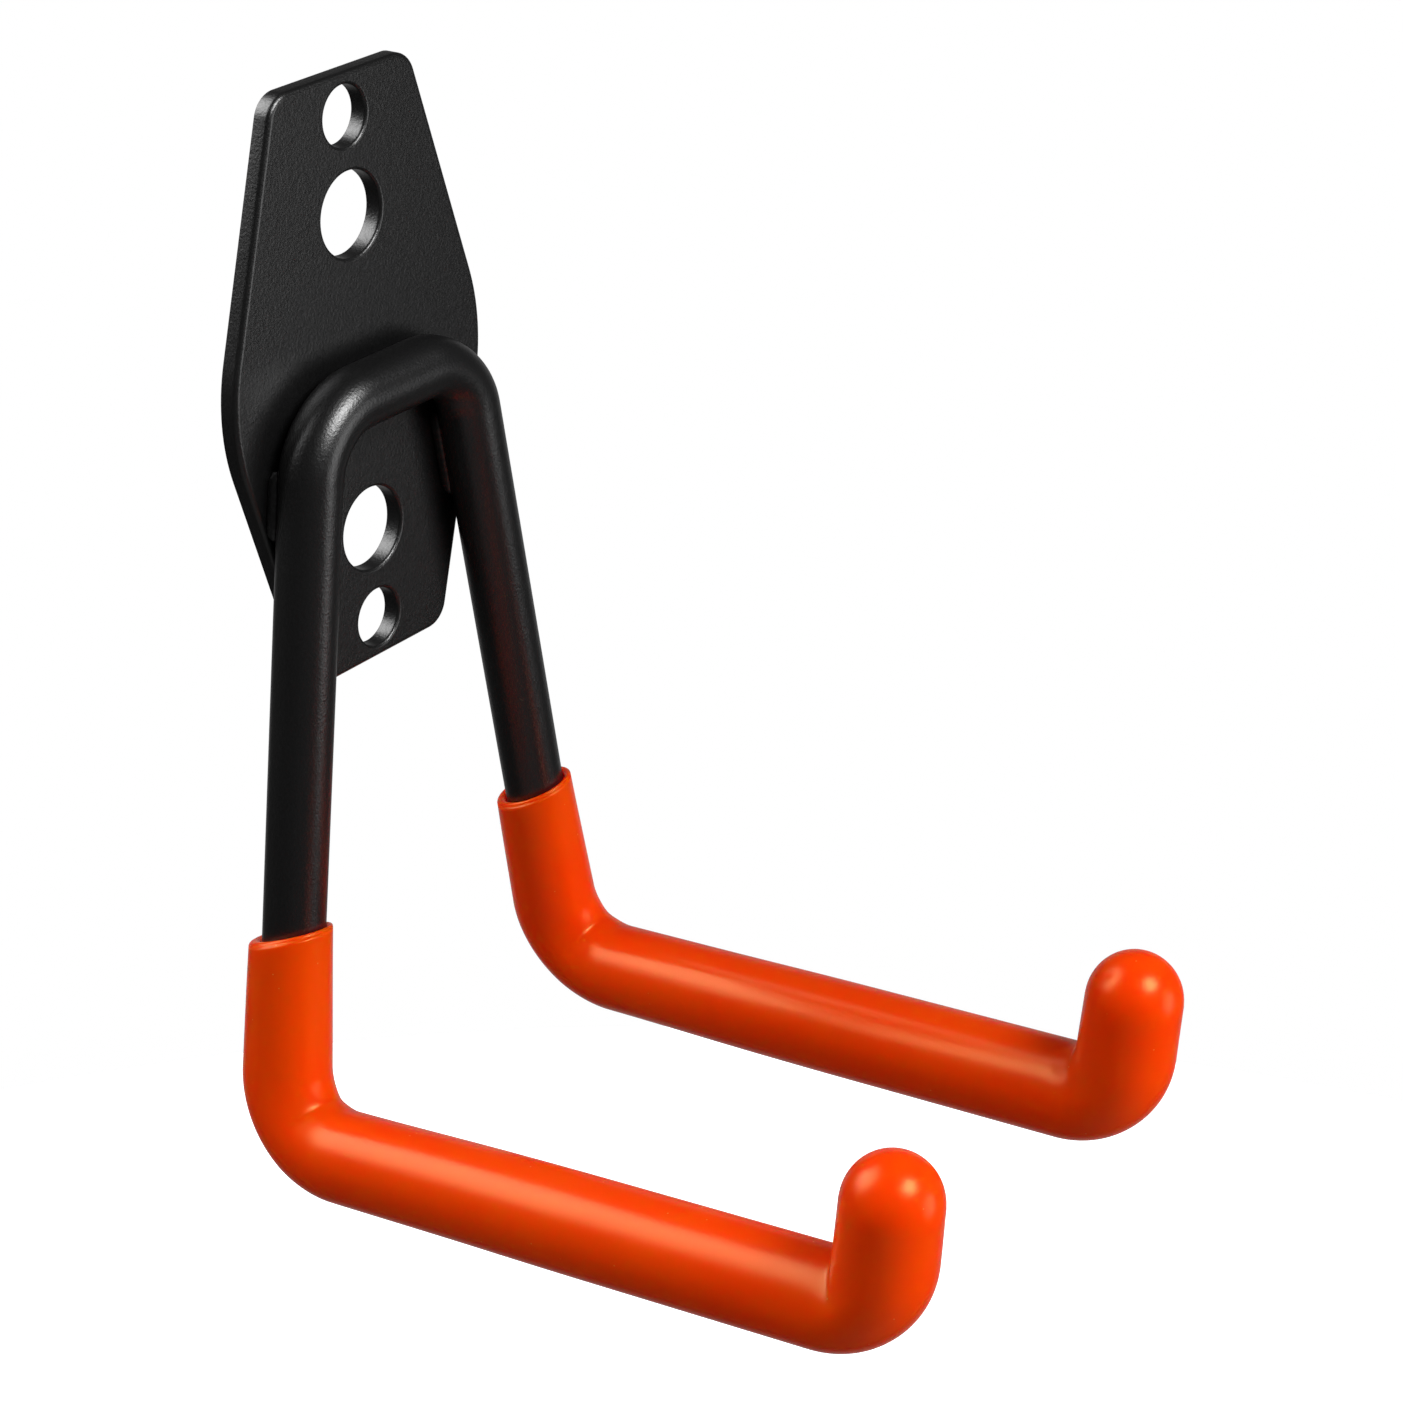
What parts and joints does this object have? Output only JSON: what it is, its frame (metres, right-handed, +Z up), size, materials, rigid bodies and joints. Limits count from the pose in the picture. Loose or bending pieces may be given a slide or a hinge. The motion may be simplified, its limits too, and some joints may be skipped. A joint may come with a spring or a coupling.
{
  "type": "garage utility hook",
  "caption": "Wall hook for tools and garden gear: a bent round bar with upturned, soft-sleeved arms, welded to a stretched hexagonal steel plate with screw holes.",
  "frame": {"origin": "centre of the wall plate's back face, which lies flat on the wall", "axes": "+X along the wall to the right as seen from the room, +Y into the wall, +Z up; the arms reach out along -Y"},
  "size_m": [0.0696, 0.1041, 0.1374],
  "materials": {
    "black_powder_coat": "satin black powder coat with a fine texture",
    "orange_vinyl": "glossy orange dipped soft vinyl"
  },
  "bodies": {
    "root": {"wall_plate": "black_powder_coat", "hook_bar": "black_powder_coat", "left_outer_weld": "black_powder_coat", "left_inner_weld": "black_powder_coat", "right_outer_weld": "black_powder_coat", "right_inner_weld": "black_powder_coat", "left_sleeve": "orange_vinyl", "right_sleeve": "orange_vinyl"}
  },
  "joints": []
}
